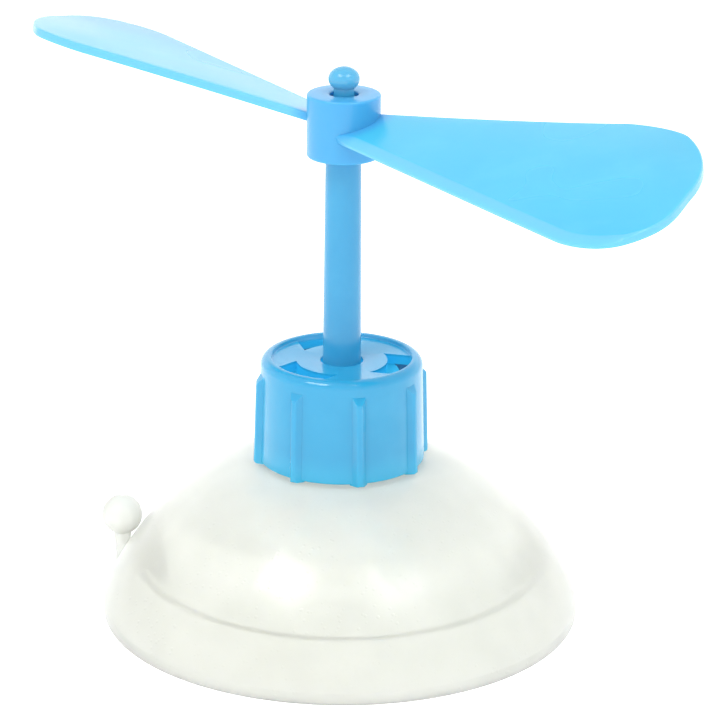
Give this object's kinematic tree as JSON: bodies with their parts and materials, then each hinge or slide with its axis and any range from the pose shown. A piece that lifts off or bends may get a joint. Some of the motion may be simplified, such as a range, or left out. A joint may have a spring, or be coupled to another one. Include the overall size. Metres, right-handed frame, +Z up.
{
  "type": "suction cup wind spinner",
  "caption": "Pitched plastic rotor that spins on a slim post, held by a ribbed screw cap on a clear suction cup with a ball-ended release tab.",
  "frame": {"origin": "centre of the cup's foot ring, on the surface that the cup stands on", "axes": "+Z up along the post, which the cap and the rotor turn about; at rest one blade lies halfway between +X and -Y, and the release tab is near -X"},
  "size_m": [0.0968, 0.1148, 0.0846],
  "materials": {
    "clear_pvc": "clear soft PVC, faintly yellow green, moulded gloss",
    "cap_blue": "slightly translucent sky blue plastic, moulded gloss",
    "post_blue": "slightly translucent blue plastic, satin gloss",
    "rotor_blue": "translucent bright sky blue plastic, moulded gloss"
  },
  "bodies": {
    "base": {"suction_cup": "clear_pvc"},
    "post": {"post": "post_blue"},
    "cap": {"screw_cap": "cap_blue"},
    "rotor": {"rotor": "rotor_blue"}
  },
  "joints": [
    {"name": "post_lift", "type": "slide", "parent": "base", "child": "post", "axis": [0, 0, 1], "range_m": [0, 0.0046]},
    {"name": "cap_turn", "type": "hinge", "parent": "post", "child": "cap", "pos_m": [0, 0, 0.0245], "axis": [0, 0, 1], "range_deg": [0, 540]},
    {"name": "rotor_spin", "type": "hinge", "parent": "post", "child": "rotor", "pos_m": [0, 0, 0.0713], "axis": [0, 0, 1], "continuous": true}
  ],
  "couplings": [
    {"joint": "post_lift", "follows": "cap_turn", "m_per_rad": 0.00047746}
  ]
}
